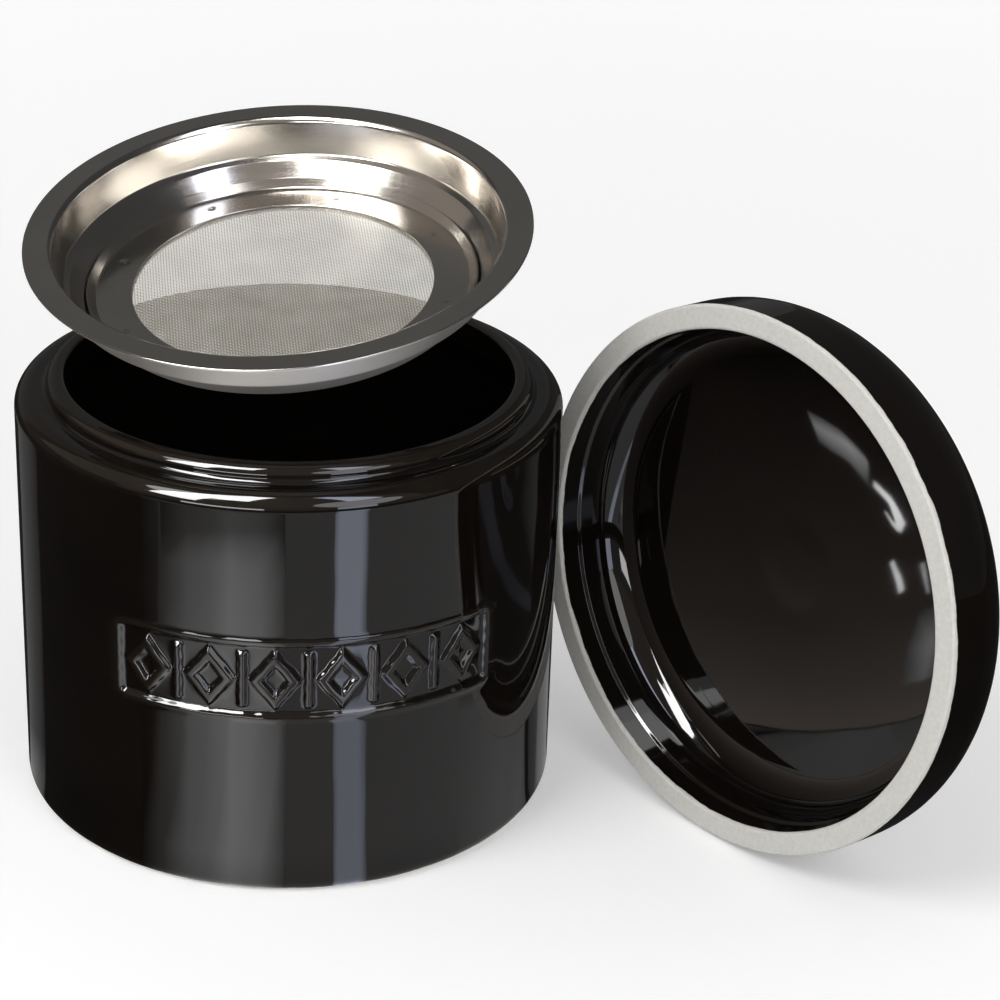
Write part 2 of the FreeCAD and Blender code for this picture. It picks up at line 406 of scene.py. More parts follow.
# %% Clamp ring mesh
ring_path = [(44.98, -12.0), (43.35, -14.0), (35.0, -14.0)]
ring_bearings = even_bearings(540)
ring_outline = rounded_outline(sheet_corners(ring_path, sheet, (0.5,)), arc_step=15.0, hold=0.08, longest=0.45)
radius, height, _ = grids(ring_outline, ring_bearings)
clamp_ring = turned_skin("clamp_ring_pressed", radius, height, ring_bearings,
                         {"buffed": np.ones(radius.shape)}, closed=True)
print("clamp ring:", len(clamp_ring.data.polygons), "faces")


# %% [markdown]
# ## One helper that adds a node
# Geometry trees and materials are both made of nodes, so one function adds a node of any kind,
# sets its properties, and fills its inputs with values or with links from other nodes.


# %% Node helper
def add_node(tree, kind, inputs=None, **settings):
    """Adds a node; inputs maps a socket's name or number to a value or to another node's output.

    A node given in place of an output stands for its first one.
    """
    node = tree.nodes.new(kind)
    for key, value in settings.items():
        setattr(node, key, value)
    for key, value in (inputs or {}).items():
        if isinstance(value, bpy.types.Node):
            value = value.outputs[0]
        if isinstance(value, bpy.types.NodeSocket):
            tree.links.new(value, node.inputs[key])
        else:
            node.inputs[key].default_value = value
    return node


# %% [markdown]
# ## Spot welds with Geometry Nodes
# The welds repeat evenly round the ring, so a small node tree makes them: for each vertex it
# finds the nearest of the evenly spaced weld centres, works out the distance to it, and pushes
# the vertex down where that distance is less than the weld's radius. The number of welds, their
# circle, their size and their depth are inputs, so another ring needs no new modelling. The
# distance is also kept as an attribute, because the weld has a slightly blued, duller face.


# %% Tree of the spot welds
def start_tree(name, inputs):
    """A geometry tree with inputs of these kinds, and the outputs of the node that gives them."""
    tree = bpy.data.node_groups.new(name, "GeometryNodeTree")
    for title, kind in {"Geometry": "Geometry", **inputs, "Steel": "Material"}.items():
        tree.interface.new_socket(title, in_out="INPUT", socket_type="NodeSocket" + kind)
    tree.interface.new_socket("Geometry", in_out="OUTPUT", socket_type="NodeSocketGeometry")
    return tree, add_node(tree, "NodeGroupInput").outputs


def end_tree(tree, shape, steel):
    """Makes the shape real, gives it its steel and hands it out."""
    real = add_node(tree, "GeometryNodeRealizeInstances", {0: shape})
    dressed = add_node(tree, "GeometryNodeSetMaterial", {"Geometry": real, "Material": steel})
    add_node(tree, "NodeGroupOutput", {0: dressed})
    return tree


def apply_tree(piece, tree, values):
    """Runs a geometry tree on a piece and keeps the result as a plain mesh."""
    modifier = piece.modifiers.new(tree.name, "NODES")
    modifier.node_group = tree
    for item in tree.interface.items_tree:
        if item.item_type == "SOCKET" and item.in_out == "INPUT" and item.name in values:
            modifier[item.identifier] = values[item.name]
    graph = bpy.context.evaluated_depsgraph_get()
    shape = piece.evaluated_get(graph)
    made = bpy.data.meshes.new_from_object(shape, preserve_all_data_layers=True, depsgraph=graph)
    piece.modifiers.remove(modifier)
    piece.data = made


def spot_welds():
    tree, given = start_tree("spot_welds", {"Welds": "Int", "Circle radius": "Float", "Weld radius": "Float",
                                            "Depth": "Float", "First bearing": "Float"})
    place = add_node(tree, "GeometryNodeInputPosition")
    here = add_node(tree, "ShaderNodeSeparateXYZ", {0: place}).outputs
    bearing = add_node(tree, "ShaderNodeMath", {0: here["Y"], 1: here["X"]}, operation="ARCTAN2")
    turned = add_node(tree, "ShaderNodeMath", {0: bearing, 1: given["First bearing"]}, operation="SUBTRACT")
    part = add_node(tree, "ShaderNodeMath", {0: 2 * math.pi, 1: given["Welds"]}, operation="DIVIDE")
    folded = add_node(tree, "ShaderNodeMath", {0: part, 1: 0.5}, operation="MULTIPLY")
    off = add_node(tree, "ShaderNodeMath", {0: turned, 1: folded}, operation="PINGPONG")
    flat = add_node(tree, "ShaderNodeCombineXYZ", {0: here["X"], 1: here["Y"]})
    out = add_node(tree, "ShaderNodeVectorMath", {0: flat}, operation="LENGTH").outputs["Value"]
    along = add_node(tree, "ShaderNodeMath", {0: off, 1: out}, operation="MULTIPLY")
    inward = add_node(tree, "ShaderNodeMath", {0: out, 1: given["Circle radius"]}, operation="SUBTRACT")
    both = add_node(tree, "ShaderNodeCombineXYZ", {0: along, 1: inward})
    away = add_node(tree, "ShaderNodeVectorMath", {0: both}, operation="LENGTH").outputs["Value"]
    share = add_node(tree, "ShaderNodeMapRange", {"Value": away, "From Min": given["Weld radius"],
                     "From Max": 0.0, "To Min": 0.0, "To Max": 1.0}, interpolation_type="SMOOTHSTEP")
    dent = add_node(tree, "ShaderNodeMath", {0: share, 1: given["Depth"]}, operation="MULTIPLY")
    down = add_node(tree, "ShaderNodeMath", {0: dent, 1: -1.0}, operation="MULTIPLY")
    shift = add_node(tree, "ShaderNodeCombineXYZ", {2: down})
    pushed = add_node(tree, "GeometryNodeSetPosition", {"Geometry": given["Geometry"], "Offset": shift})
    kept = add_node(tree, "GeometryNodeStoreNamedAttribute", {"Geometry": pushed, "Name": "weld",
                    "Value": share}, data_type="FLOAT", domain="POINT")
    return end_tree(tree, kept, given["Steel"])


# %% [markdown]
# ## Wire cloth with Geometry Nodes
# The strainer's floor is a plain weave of fine steel wire: each wire goes over one and under the
# next. The tree lays parallel wires with one point at each crossing, lifts and lowers every
# second point, and drops the points outside the disc. The same is done a quarter turn round with
# the heights reversed, so the two sets interlace. The wires get a three-sided section, shaded
# smooth, which is enough for threads about as thin as a pixel.
# The real cloth's threads are too fine to count in the photograph. The pitch here is 0.65 mm,
# about as fine as the render can show.


# %% Tree of the wire cloth
def wire_cloth():
    tree, given = start_tree("wire_cloth", {"Pitch": "Float", "Wire": "Float", "Wave": "Float",
                                            "Disc radius": "Float", "Height": "Float", "Wires each way": "Int"})
    pitch, each_way = given["Pitch"], given["Wires each way"]
    count = add_node(tree, "ShaderNodeMath", {0: each_way, 1: 2.0, 2: 1.0}, operation="MULTIPLY_ADD")
    reach = add_node(tree, "ShaderNodeMath", {0: each_way, 1: pitch}, operation="MULTIPLY")
    minus = add_node(tree, "ShaderNodeMath", {0: reach, 1: -1.0}, operation="MULTIPLY")
    left_end = add_node(tree, "ShaderNodeCombineXYZ", {0: minus})
    right_end = add_node(tree, "ShaderNodeCombineXYZ", {0: reach})
    one_wire = add_node(tree, "GeometryNodeCurvePrimitiveLine", {"Start": left_end, "End": right_end})
    one_wire = add_node(tree, "GeometryNodeResampleCurve", {"Curve": one_wire, "Count": count})
    first_row = add_node(tree, "ShaderNodeCombineXYZ", {1: minus, 2: given["Height"]})
    row_step = add_node(tree, "ShaderNodeCombineXYZ", {1: pitch})
    rows = add_node(tree, "GeometryNodeMeshLine",
                    {"Count": count, "Start Location": first_row, "Offset": row_step})
    laid = add_node(tree, "GeometryNodeInstanceOnPoints", {"Points": rows, "Instance": one_wire})
    laid = add_node(tree, "GeometryNodeRealizeInstances", {0: laid})
    place = add_node(tree, "GeometryNodeInputPosition")
    spot = add_node(tree, "ShaderNodeSeparateXYZ", {0: place}).outputs
    swings = []
    for axis in ("X", "Y"):
        turns = add_node(tree, "ShaderNodeMath", {0: spot[axis], 1: pitch}, operation="DIVIDE")
        angle = add_node(tree, "ShaderNodeMath", {0: turns, 1: math.pi}, operation="MULTIPLY")
        swings.append(add_node(tree, "ShaderNodeMath", {0: angle}, operation="COSINE"))
    swing = add_node(tree, "ShaderNodeMath", {0: swings[0], 1: swings[1]}, operation="MULTIPLY")
    lift = add_node(tree, "ShaderNodeMath", {0: swing, 1: given["Wave"]}, operation="MULTIPLY")
    lift_way = add_node(tree, "ShaderNodeCombineXYZ", {2: lift})
    drop = add_node(tree, "ShaderNodeMath", {0: lift, 1: -1.0}, operation="MULTIPLY")
    drop_way = add_node(tree, "ShaderNodeCombineXYZ", {2: drop})
    warp = add_node(tree, "GeometryNodeSetPosition", {"Geometry": laid, "Offset": lift_way})
    weft = add_node(tree, "GeometryNodeTransform", {"Geometry": laid, "Rotation": (0, 0, math.pi / 2)})
    weft = add_node(tree, "GeometryNodeSetPosition", {"Geometry": weft, "Offset": drop_way})
    woven = add_node(tree, "GeometryNodeJoinGeometry")
    for wires in (weft, warp):
        tree.links.new(wires.outputs[0], woven.inputs[0])
    plan = add_node(tree, "ShaderNodeCombineXYZ", {0: spot["X"], 1: spot["Y"]})
    from_middle = add_node(tree, "ShaderNodeVectorMath", {0: plan}, operation="LENGTH").outputs["Value"]
    outside = add_node(tree, "ShaderNodeMath",
                       {0: from_middle, 1: given["Disc radius"]}, operation="GREATER_THAN")
    disc = add_node(tree, "GeometryNodeDeleteGeometry",
                    {"Geometry": woven, "Selection": outside}, domain="POINT")
    half_wire = add_node(tree, "ShaderNodeMath", {0: given["Wire"], 1: 0.5}, operation="MULTIPLY")
    section = add_node(tree, "GeometryNodeCurvePrimitiveCircle", {"Resolution": 3, "Radius": half_wire},
                       mode="RADIUS")
    solid = add_node(tree, "GeometryNodeCurveToMesh",
                     {"Curve": disc, "Profile Curve": section, "Fill Caps": True})
    smooth = add_node(tree, "GeometryNodeSetShadeSmooth", {"Geometry": solid})
    return end_tree(tree, smooth, given["Steel"])


# %% [markdown]
# ## Colours
# Colours are picked as sRGB hex codes, the way a paint or glaze sample is matched on a screen,
# and one function turns them to the linear values that the renderer mixes. A second one starts
# each finish with an empty node tree.


# %% Colour and finish helpers
def colour(code):
    parts = [int(code[k:k + 2], 16) / 255 for k in (1, 3, 5)]
    return tuple(v / 12.92 if v <= 0.04045 else ((v + 0.055) / 1.055) ** 2.4 for v in parts) + (1.0,)


def new_finish(name):
    material = bpy.data.materials.new(name)
    material.use_nodes = True
    material.node_tree.nodes.clear()
    return material, material.node_tree


# %% [markdown]
# ## Black glaze over stoneware
# The crock and the lid are dipped in an iron-black gloss glaze and fired. Glaze is glass, so
# it has a glass's index of refraction, 1.52, and almost no roughness, and its colour is nearly
# black with a little brown. It ran thin on convex edges, where the iron shows as dark brown, and
# its surface is not quite flat: it waves by about a tenth of a millimetre over two or three
# centimetres, which bends the edges of every reflection. The black itself drifts a little towards
# brown over three or four centimetres. Where there is no glaze the fired clay is a pale, matt
# grey-cream with fine grain, and the line between the two wanders.


# %% Glazed stoneware
def black_glaze():
    material, tree = new_finish("black_glazed_stoneware")
    place = add_node(tree, "ShaderNodeTexCoord").outputs["Object"]
    thin_mark = add_node(tree, "ShaderNodeAttribute", attribute_name="thin").outputs["Fac"]
    bare_mark = add_node(tree, "ShaderNodeAttribute", attribute_name="bare").outputs["Fac"]
    wander = add_node(tree, "ShaderNodeTexNoise",
                      {"Vector": place, "Scale": 110.0, "Detail": 4.0, "Roughness": 0.6})
    shifted = add_node(tree, "ShaderNodeMath", {0: wander, 1: 0.42, 2: bare_mark}, operation="MULTIPLY_ADD")
    clay_share = add_node(tree, "ShaderNodeMapRange", {"Value": shifted, "From Min": 0.685, "From Max": 0.735},
                          interpolation_type="SMOOTHSTEP")
    cloud = add_node(tree, "ShaderNodeTexNoise", {"Vector": place, "Scale": 70.0, "Detail": 3.0})
    thin_share = add_node(tree, "ShaderNodeMath", {0: thin_mark, 1: cloud}, operation="MULTIPLY")
    drift = add_node(tree, "ShaderNodeTexNoise", {"Vector": place, "Scale": 28.0, "Detail": 3.0})
    black = add_node(tree, "ShaderNodeMix",
                     {0: drift, 6: colour("#060504"), 7: colour("#15100d")}, data_type="RGBA").outputs[2]
    glaze = add_node(tree, "ShaderNodeMix", {0: thin_share, 6: black, 7: colour("#30281f")}, data_type="RGBA")
    speck = add_node(tree, "ShaderNodeTexNoise",
                     {"Vector": place, "Scale": 900.0, "Detail": 5.0, "Roughness": 0.7})
    clay = add_node(tree, "ShaderNodeMix",
                    {0: speck, 6: colour("#bfbdb6"), 7: colour("#e2e0da")}, data_type="RGBA")
    skin = add_node(tree, "ShaderNodeMix",
                    {0: clay_share, 6: glaze.outputs[2], 7: clay.outputs[2]}, data_type="RGBA")
    gloss = add_node(tree, "ShaderNodeMapRange", {"Value": cloud, "From Min": 0.3, "From Max": 0.7,
                     "To Min": 0.03, "To Max": 0.06})
    rough = add_node(tree, "ShaderNodeMix", {0: clay_share, 2: gloss, 3: 0.85}, data_type="FLOAT")
    wave = add_node(tree, "ShaderNodeTexNoise", {"Vector": place, "Scale": 42.0, "Detail": 1.0})
    wavy = add_node(tree, "ShaderNodeBump", {"Height": wave, "Distance": 0.00015, "Strength": 1.0})
    grain_height = add_node(tree, "ShaderNodeMath", {0: speck, 1: clay_share}, operation="MULTIPLY")
    grainy = add_node(tree, "ShaderNodeBump", {"Height": grain_height, "Distance": 0.00012, "Strength": 1.0,
                      "Normal": wavy})
    shader = add_node(tree, "ShaderNodeBsdfPrincipled", {"Base Color": skin.outputs[2], "Roughness": rough,
                      "Normal": grainy, "IOR": 1.52})
    add_node(tree, "ShaderNodeOutputMaterial", {"Surface": shader})
    return material


glaze_finish = black_glaze()


# %% [markdown]
# ## Pressed stainless steel
# The pan and the clamp ring are stainless steel, the usual metal for kitchen sieves. A metal's
# colour is its reflection, so the base colour is a light, slightly warm grey. Buffing on a spindle
# leaves hair lines that run round the piece, a few tenths of a millimetre apart, which blur
# reflections across them. The outside was only pressed, so it is rougher and looks satin.


# %% Stainless steel
def pressed_steel():
    material, tree = new_finish("pressed_stainless_steel")
    own = add_node(tree, "ShaderNodeAttribute", attribute_name="own").outputs["Vector"]
    buffed = add_node(tree, "ShaderNodeAttribute", attribute_name="buffed").outputs["Fac"]
    weld = add_node(tree, "ShaderNodeAttribute", attribute_name="weld").outputs["Fac"]
    parts = add_node(tree, "ShaderNodeSeparateXYZ", {0: own}).outputs
    plan = add_node(tree, "ShaderNodeCombineXYZ", {0: parts["X"], 1: parts["Y"]})
    out = add_node(tree, "ShaderNodeVectorMath", {0: plan}, operation="LENGTH").outputs[1]
    bearing = add_node(tree, "ShaderNodeMath", {0: parts["Y"], 1: parts["X"]}, operation="ARCTAN2")
    slow = add_node(tree, "ShaderNodeMath", {0: bearing, 1: 0.0007}, operation="MULTIPLY")
    lathe = add_node(tree, "ShaderNodeCombineXYZ", {0: out, 1: slow, 2: parts["Z"]})
    lines = add_node(tree, "ShaderNodeTexNoise", {"Vector": lathe, "Scale": 3200.0, "Detail": 2.0})
    blotch = add_node(tree, "ShaderNodeTexNoise", {"Vector": own, "Scale": 45.0, "Detail": 3.0})
    steel = add_node(tree, "ShaderNodeMix",
                     {0: blotch, 6: colour("#b9b4ad"), 7: colour("#cdc9c3")}, data_type="RGBA")
    steel = add_node(tree, "ShaderNodeMix",
                     {0: weld, 6: steel.outputs[2], 7: colour("#8d857a")}, data_type="RGBA")
    rough = add_node(tree, "ShaderNodeMix", {0: buffed, 2: 0.5, 3: 0.10}, data_type="FLOAT")
    rough = add_node(tree, "ShaderNodeMath", {0: lines, 1: 0.10, 2: rough}, operation="MULTIPLY_ADD")
    rough = add_node(tree, "ShaderNodeMath", {0: weld, 1: 0.15, 2: rough}, operation="MULTIPLY_ADD")
    scratch = add_node(tree, "ShaderNodeBump", {"Height": lines, "Distance": 0.0000015, "Strength": 1.0})
    shader = add_node(tree, "ShaderNodeBsdfPrincipled", {"Base Color": steel.outputs[2], "Roughness": rough,
                      "Normal": scratch, "Metallic": 1.0})
    add_node(tree, "ShaderNodeOutputMaterial", {"Surface": shader})
    return material


steel_finish = pressed_steel()


# %% [markdown]
# ## Steel wire
# Drawn wire is bright but not polished, and a woven cloth shows thousands of tiny highlights
# that add up to a soft grey. Its colour varies a little from wire to wire.


# %% Wire finish
def drawn_wire():
    material, tree = new_finish("drawn_stainless_wire")
    place = add_node(tree, "ShaderNodeTexCoord").outputs["Object"]
    change = add_node(tree, "ShaderNodeTexNoise", {"Vector": place, "Scale": 220.0, "Detail": 2.0})
    steel = add_node(tree, "ShaderNodeMix",
                     {0: change, 6: colour("#aaa59b"), 7: colour("#cfcbc3")}, data_type="RGBA")
    rough = add_node(tree, "ShaderNodeMapRange", {"Value": change, "To Min": 0.3, "To Max": 0.5})
    shader = add_node(tree, "ShaderNodeBsdfPrincipled",
                      {"Base Color": steel.outputs[2], "Roughness": rough, "Metallic": 1.0})
    add_node(tree, "ShaderNodeOutputMaterial", {"Surface": shader})
    return material


wire_finish = drawn_wire()

# %% [markdown]
# ## Lifting the strainer
# The pan, its ring and its cloth were made as they sit on the collar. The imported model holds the
# hinge on which they are lifted and tipped, so the same turn is read from it and used here. All
# three meshes get the same matrix, and so they stay seated in each other.

# %% Lift the strainer's pieces
hinge = next(joint for joint in frame["joints"] if joint["name"] == "strainer_lift")
pivot = Vector(hinge["pos_m"])
tipped = math.radians(-hinge["range_deg"][0])
seat_gap = 0.2
seat = Matrix.Translation(Vector((0, 0, rim_height + seat_gap)) * MM)
lift_up = (Matrix.Translation(pivot) @ Matrix.Rotation(tipped, 4, Vector(hinge["axis"]))
           @ Matrix.Translation(-pivot) @ seat)

cloth = put_in_scene("wire_cloth", bpy.data.meshes.new("wire_cloth"))
apply_tree(cloth, wire_cloth(), {"Pitch": 0.65 * MM, "Wire": 0.27 * MM, "Wave": 0.065 * MM,
                                 "Disc radius": 41.9 * MM, "Height": -14.8 * MM, "Wires each way": 65,
                                 "Steel": wire_finish})
apply_tree(clamp_ring, spot_welds(), {"Welds": 8, "Circle radius": 39.6 * MM, "Weld radius": 1.3 * MM,
                                      "Depth": 0.22 * MM, "First bearing": math.radians(22),
                                      "Steel": steel_finish})
for piece in (pan, clamp_ring, cloth):
    piece.data.transform(lift_up)
print("wire cloth:", len(cloth.data.polygons), "faces")

# %% [markdown]
# ## Tying the pieces to the imported model
# Each piece takes the place of one imported node, which is hidden, rides on that node's body, and gets
# one of the finishes made above.


# %% Place every piece on its body
def dress(piece, body, node, material):
    if piece.data.materials:
        piece.data.materials[0] = material
    else:
        piece.data.materials.append(material)
    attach(piece, body)
    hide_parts(node)


dress(crock, "crock", "crock", glaze_finish)
dress(lid, "lid", "lid", glaze_finish)
dress(pan, "strainer", "strainer_pan", steel_finish)
dress(clamp_ring, "strainer", "mesh_clamp_ring", steel_finish)
dress(cloth, "strainer", "strainer_mesh", wire_finish)

# %% [markdown]
# ## Floor and backdrop
# The jar stands on a plain pale floor. The floor is an ordinary matt white that keeps the soft
# shadows, and a little light of its own, which only the camera, mirrors and glass see, takes it
# up to the white of the background. It is weak near the jar, where it would wash out the shadows,
# and stronger far off, where the lamps fade. The world does the same past the floor's edge.


# %% Floor and world
def seen_directly(tree):
    """1 for a ray from the camera, or one that a mirror or glass has passed on; otherwise 0."""
    ray = add_node(tree, "ShaderNodeLightPath").outputs
    first = add_node(tree, "ShaderNodeMath",
                     {0: ray["Is Camera Ray"], 1: ray["Is Glossy Ray"]}, operation="MAXIMUM")
    return add_node(tree, "ShaderNodeMath", {0: first, 1: ray["Is Transmission Ray"]}, operation="MAXIMUM")


floor_half = 4
floor_height = -0.0001
floor_mesh = bpy.data.meshes.new("studio_floor")
floor_mesh.from_pydata([(x * floor_half, y * floor_half, floor_height)
                        for x, y in ((-1, -1), (1, -1), (1, 1), (-1, 1))], [], [(0, 1, 2, 3)])
floor = put_in_scene("studio_floor", floor_mesh)
floor_paint, tree = new_finish("matt_white_floor")
matt = add_node(tree, "ShaderNodeBsdfDiffuse", {"Color": (0.88, 0.88, 0.88, 1)})
place = add_node(tree, "ShaderNodeTexCoord").outputs["Object"]
from_jar = add_node(tree, "ShaderNodeVectorMath", {0: place}, operation="LENGTH")
lift_to_white = add_node(tree, "ShaderNodeMapRange",
                         {"Value": from_jar.outputs[1], "From Min": 0.3, "From Max": 1.5,
                         "To Min": 0.26, "To Max": 0.6})
own_light = add_node(tree, "ShaderNodeMath", {0: seen_directly(tree), 1: lift_to_white}, operation="MULTIPLY")
glow = add_node(tree, "ShaderNodeEmission", {"Strength": own_light})
both = add_node(tree, "ShaderNodeAddShader", {0: matt, 1: glow})
add_node(tree, "ShaderNodeOutputMaterial", {"Surface": both})
floor.data.materials.append(floor_paint)

world = bpy.data.worlds.new("studio_air")
bpy.context.scene.world = world
world.use_nodes = True
tree = world.node_tree
tree.nodes.clear()
level = add_node(tree, "ShaderNodeMix", {0: seen_directly(tree), 2: 0.5, 3: 1.0}, data_type="FLOAT")
air = add_node(tree, "ShaderNodeBackground", {"Color": (1, 1, 1, 1), "Strength": level})
add_node(tree, "ShaderNodeOutputWorld", {"Surface": air})

# %% [markdown]
# ## Cards round the table
# Glossy black ceramic shows nothing but reflections. A photographer shoots it inside dark cards
# and leaves a few bright panels between them: each panel becomes one clean band of light, and a
# panel that is darker towards its edge gives a band with a soft edge. The cards here are seen by
# reflections alone, so they neither light the floor nor cast shadows. Each card is a grid of
# points with a brightness at each point, which its paint reads.


# %% Card helper
def card_paint(name, strength, tint="#ffffff"):
    paint, tree = new_finish(name)
    level = add_node(tree, "ShaderNodeAttribute", attribute_name="level").outputs["Fac"]
    power = add_node(tree, "ShaderNodeMath", {0: level, 1: strength}, operation="MULTIPLY")
    light = add_node(tree, "ShaderNodeEmission", {"Color": colour(tint), "Strength": power})
    add_node(tree, "ShaderNodeOutputMaterial", {"Surface": light})
    return paint


def lay_card(name, points, levels, paint):
    """A card from rows of points in metres and rows of brightness; only reflections see it."""
    rows, columns = len(levels), len(levels[0])
    faces = [(r * columns + c, r * columns + c + 1, (r + 1) * columns + c + 1, (r + 1) * columns + c)
             for r in range(rows - 1) for c in range(columns - 1)]
    mesh = bpy.data.meshes.new(name)
    mesh.from_pydata([point for row in points for point in row], [], faces)
    mesh.attributes.new("level", "FLOAT", "POINT").data.foreach_set("value", [v for row in levels for v in row])
    mesh.materials.append(paint)
    card = put_in_scene(name, mesh)
    card.visible_camera = card.visible_diffuse = card.visible_shadow = card.visible_transmission = False


# %% [markdown]
# ## Sky cards
# The pan, the rounded collar and shoulder, and the lid look up past the table, so their lights
# hang on a sphere round it. A sky card is a patch of that sphere, given by bearings from the
# front (-Y) towards +X and by heights above the table, both in degrees.


# %% Sky cards
sky_middle = 0.06
sky_step = 5


def in_steps(first, last):
    """The angles from first to last, about sky_step apart, in radians."""
    return np.radians(np.linspace(first, last, max(2, int(abs(last - first) / sky_step) + 1)))


def sky_card(name, bearings, heights, distance, paint):
    points = [[(distance * math.sin(b) * math.cos(h), -distance * math.cos(b) * math.cos(h),
                distance * math.sin(h) + sky_middle) for b in in_steps(*bearings)]
              for h in in_steps(*heights)]
    lay_card(name, points, [[1.0] * len(row) for row in points], paint)


sky_card("tent", (-180, 180), (-6, 90), 1.95, card_paint("dark_card", 0.06))
sky_card("back_card", (160, 222), (2, 62), 1.85, card_paint("dim_card", 0.115))
sky_card("front_card", (-125, 50), (15, 84), 1.8, card_paint("warm_card", 0.3, "#fff3e8"))
sky_card("low_front_card", (-75, 60), (0, 15), 1.8, card_paint("low_card", 0.2))
bright_panel = card_paint("bright_panel", 22.0)
sky_card("left_panel", (-62, -24), (48, 80), 1.5, bright_panel)
sky_card("left_panel_foot", (-62, -42), (22, 48), 1.5, bright_panel)
sky_card("left_low_panel", (-46, -14), (1, 8), 1.5, card_paint("edge_panel", 8.0))
sky_card("right_panel", (22, 40), (44, 78), 1.5, card_paint("cool_panel", 7.0, "#e2eaff"))
sky_card("right_low_panel", (14, 30), (0, 12), 1.5, card_paint("cool_edge_panel", 4.0, "#e2eaff"))

# %% [markdown]
# ## Table cards
# An upright wall seen from above mirrors the table in front of it. A wall turned to a bearing
# sends the camera's line of sight off at twice that bearing, so a card for an upright band of
# light starts at the crock's foot and its sides run out that way. How far out a card reaches
# sets how high up the wall its band goes: a point 100 mm out shows about 50 mm up. The cards lie
# a tenth of a millimetre or more over each other, and the higher one is the one that shows.


# %% Table cards
camera_bearing = math.radians(-3.8)
card_start = crock_radius - 1


def table_card(name, across, out, rise, paint):
    """across pairs bearings on the wall with brightness; out pairs distances in mm with brightness."""
    points, levels = [], []
    for distance, strong in out:
        row = []
        for bearing, _ in across:
            b = math.radians(bearing)
            way = 2 * b - camera_bearing
            row.append(((math.sin(b) * card_start + math.sin(way) * distance) * MM,
                        (-math.cos(b) * card_start - math.cos(way) * distance) * MM, rise))
        points.append(row)
        levels.append([strong * level for _, level in across])
    lay_card(name, points, levels, paint)


plain = card_paint("table_panel", 1.0)
half, rise = 1.9, 0.0002
corners = [[(-half, -half, rise), (half, -half, rise)], [(-half, half, rise), (half, half, rise)]]
lay_card("table_black", corners, [[0.02, 0.02], [0.02, 0.02]], plain)
table_card("table_base", [(-36, 0), (-31, 0.35)] + [(b, 0.5) for b in range(-27, 34, 3)] + [(34.3, 0.5)],
           [(0, 0.8), (20, 1.0), (420, 1.0)], 0.0004, plain)
table_card("table_core", [(-31, 0.3), (-25, 1.2), (-20, 1.6), (-16, 2.4), (-10, 1.9), (-5.2, 0.7), (-4.6, 0.4)],
           [(0, 0.7), (15, 1.0), (130, 1.0), (165, 0.9), (190, 0.35), (300, 0.3)], 0.0006, plain)
table_card("table_narrow", [(5.2, 2.2), (6.0, 3.4), (10.6, 3.4), (12.2, 1.2)],
           [(0, 0.7), (90, 0.7), (120, 1.0), (420, 1.0)], 0.0007,
           card_paint("cool_table_panel", 1.0, "#e2eaff"))
table_card("table_right", [(34.2, 0.5), (42, 0.5), (50, 0.4), (58, 0.2)],
           [(0, 1.0), (70, 1.0), (95, 0.0)], 0.0004, plain)
table_card("table_right_edge", [(60, 0.1), (66, 0.32), (76, 0.35)], [(0, 1.0), (300, 1.0)], 0.0005, plain)
table_card("table_left_edge", [(-82, 0.16), (-72, 0.12), (-69, 0.05)],
           [(0, 2.5), (30, 1.0), (300, 1.0)], 0.0005, plain)

# %% [markdown]
# ## Lights for the lid's hollow
# The lid's hollow faces the crock, so all it mirrors is the crock's dark side, and it would look
# flat. A very faint, graded card stands a millimetre off that side and gives the bowl its tone,
# and a few small bright ones give the curved streaks on its cove. They are lit on the side towards
# the lid and clear from behind, so the crock's own reflections pass through them.


# %% Cards at the crock's side
def one_sided(paint):
    tree = paint.node_tree
    light, end = tree.nodes["Emission"], tree.nodes["Material Output"]
    behind = add_node(tree, "ShaderNodeNewGeometry").outputs["Backfacing"]
    clear = add_node(tree, "ShaderNodeBsdfTransparent")
    mixed = add_node(tree, "ShaderNodeMixShader", {0: behind, 1: light, 2: clear})
    tree.links.new(mixed.outputs[0], end.inputs["Surface"])
    return paint


def side_card(name, rows, off, paint):
    """rows of (bearing, height in mm, brightness) along the crock's side; its lit face is outward."""
    (b0, h0, _), (b1, h1, _), (b2, h2, _) = rows[0][0], rows[0][1], rows[1][0]
    if (b1 - b0) * (h2 - h0) < (h1 - h0) * (b2 - b0):
        rows = [row[::-1] for row in rows]
    out = (crock_radius + off) * MM
    points = [[(out * math.sin(math.radians(b)), -out * math.cos(math.radians(b)), h * MM) for b, h, _ in row]
              for row in rows]
    lay_card(name, points, [[level for _, _, level in row] for row in rows], paint)


lit_side = one_sided(card_paint("side_panel", 1.0))
glow_heights = ((2, 0.6), (15, 0.38), (30, 0.22), (50, 0.13), (75, 0.06), (95, 0.02))
side_card("hollow_glow", [[(b, h, level) for b in range(26, 95, 6)] for h, level in glow_heights], 0.8,
          one_sided(card_paint("warm_side_panel", 1.0, "#ffeee4")))
side_card("hollow_patch", [[(66, 73, 0.2), (60, 67, 1.2), (55.5, 61.5, 0.6)],
                           [(67.5, 78, 2.4), (61, 72.5, 3.4), (56, 67.5, 2.4)],
                           [(69, 82, 0.2), (63, 77, 0.6), (57, 70, 0.2)]], 1.1, lit_side)
side_card("hollow_streak_1", [[(54.5, 61.6, 9), (51, 57.5, 11), (48, 52.0, 11), (46.6, 50.0, 9)],
                              [(54.5, 63.2, 9), (51, 59.3, 11), (47.2, 54.4, 11), (45.6, 52.2, 9)]],
          1.4, lit_side)
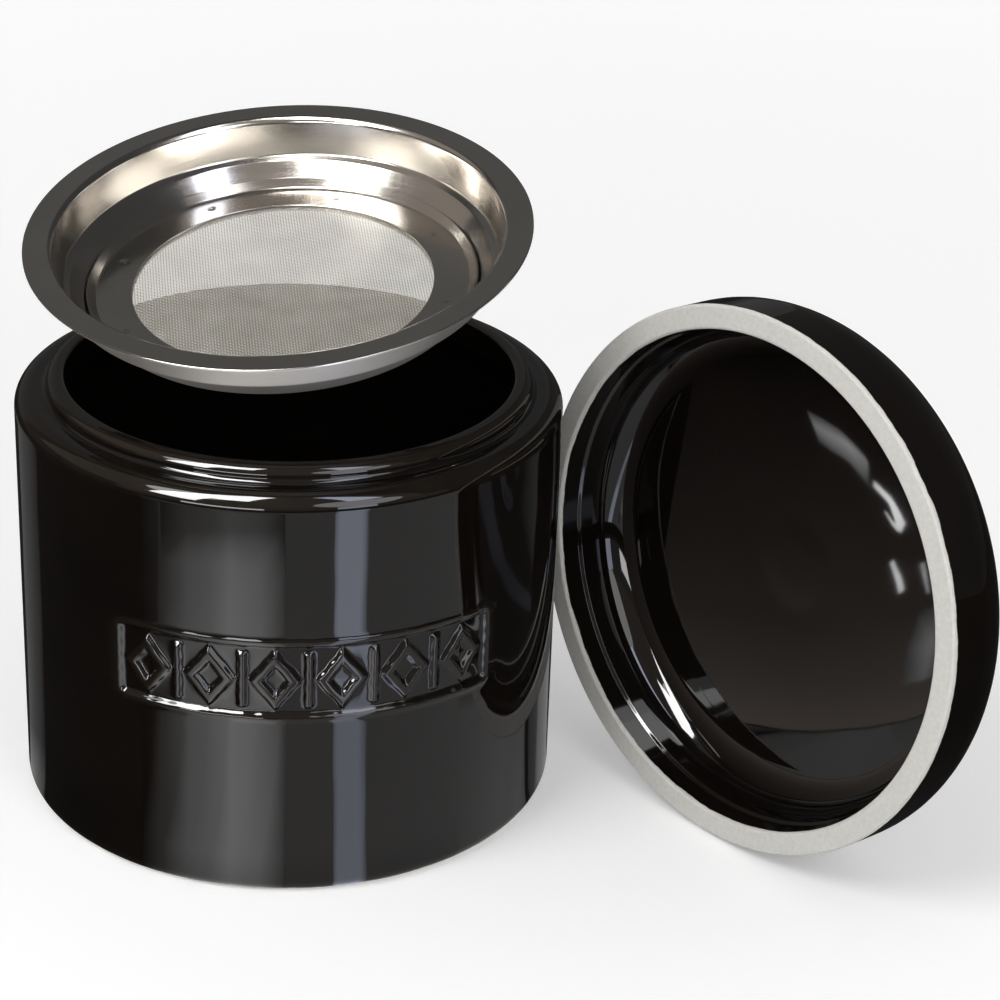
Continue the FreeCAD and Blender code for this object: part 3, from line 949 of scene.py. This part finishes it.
side_card("hollow_streak_2", [[(51.8, 55.2, 5), (49.6, 52.2, 8), (47.4, 50.2, 9)],
                              [(51.8, 56.0, 5), (49.4, 53.2, 8), (46.8, 51.6, 9)]], 1.4, lit_side)
side_card("hollow_streak_3", [[(46.0, 34.8, 7), (47.6, 38.4, 9), (49.6, 42.6, 7)],
                              [(44.8, 35.6, 7), (46.4, 39.2, 9), (48.6, 43.4, 7)]], 1.4, lit_side)
side_card("hollow_streak_4", [[(36.8, 33.6, 4), (39.0, 38.0, 6), (41.0, 42.2, 5)],
                              [(36.2, 34.0, 4), (38.2, 38.4, 6), (40.2, 42.6, 5)]], 1.4, lit_side)
side_card("hollow_crescent", [[(26, 12, 0.3), (31, 12, 1.2), (38, 12, 0.4)],
                              [(27, 20, 0.4), (32, 20, 1.7), (39, 20, 0.4)],
                              [(30, 30, 0.1), (34, 30, 0.4), (40, 30, 0.1)]], 1.2, lit_side)

# %% [markdown]
# ## Lamps
# Two large soft lamps over the front corners model the pieces, draw the shadows and show as soft
# lights in the satin steel. They are kept at a plain level, so that a surface turned to them shows
# about the colour it was given.


# %% Lamps
lamp_aim = Vector((0.03, -0.02, 0.06))


def soft_lamp(name, place, size, power):
    lamp = bpy.data.lights.new(name, "AREA")
    lamp.shape = "DISK"
    lamp.size = size
    lamp.energy = power
    holder = put_in_scene(name, lamp)
    holder.location = place
    holder.rotation_euler = (lamp_aim - Vector(place)).to_track_quat("-Z", "Y").to_euler()


soft_lamp("lamp_left", (-0.7, -0.5, 1.1), 0.7, 7.0)
soft_lamp("lamp_front", (0.5, -1.1, 0.7), 0.8, 4.0)

# %% [markdown]
# ## Camera
# The camera stands where the photographer's did: about 0.7 m from the jar, a little left of its
# front, looking down by 27 degrees through a longish lens. It was fitted to the edges of the
# foot, shoulder, collar and mouth. It is turned slightly off the jar, because the lid shares the
# picture. Its bearing was set above, because the table cards follow it.

# %% Camera
camera_height = math.radians(26.83)
camera_distance = 690.7 * MM
turn_right = math.radians(4.73)
turn_up = math.radians(1.61)
tilt = math.radians(2.16)

away_from_jar = Vector((math.sin(camera_bearing) * math.cos(camera_height),
                        -math.cos(camera_bearing) * math.cos(camera_height), math.sin(camera_height)))
aim_point = Vector((0, 0, 50 * MM))
to_jar = -away_from_jar
heading = math.atan2(to_jar.x, to_jar.y) + turn_right
lift = math.asin(to_jar.z) + turn_up
look = Vector((math.sin(heading) * math.cos(lift), math.cos(heading) * math.cos(lift), math.sin(lift)))
level_right = Vector((math.cos(heading), -math.sin(heading), 0))
level_up = level_right.cross(look)
right = level_right * math.cos(tilt) + level_up * math.sin(tilt)
up = -level_right * math.sin(tilt) + level_up * math.cos(tilt)
turning = Matrix((right, up, -look)).transposed().to_4x4()
lens = bpy.data.cameras.new("photo_camera")
lens.sensor_width = 36.0
lens.lens = 100.93
lens.clip_start = 0.01
camera = put_in_scene("photo_camera", lens)
camera.matrix_world = Matrix.Translation(aim_point + away_from_jar * camera_distance) @ turning
bpy.context.scene.camera = camera
bpy.context.scene.view_settings.view_transform = "Standard"
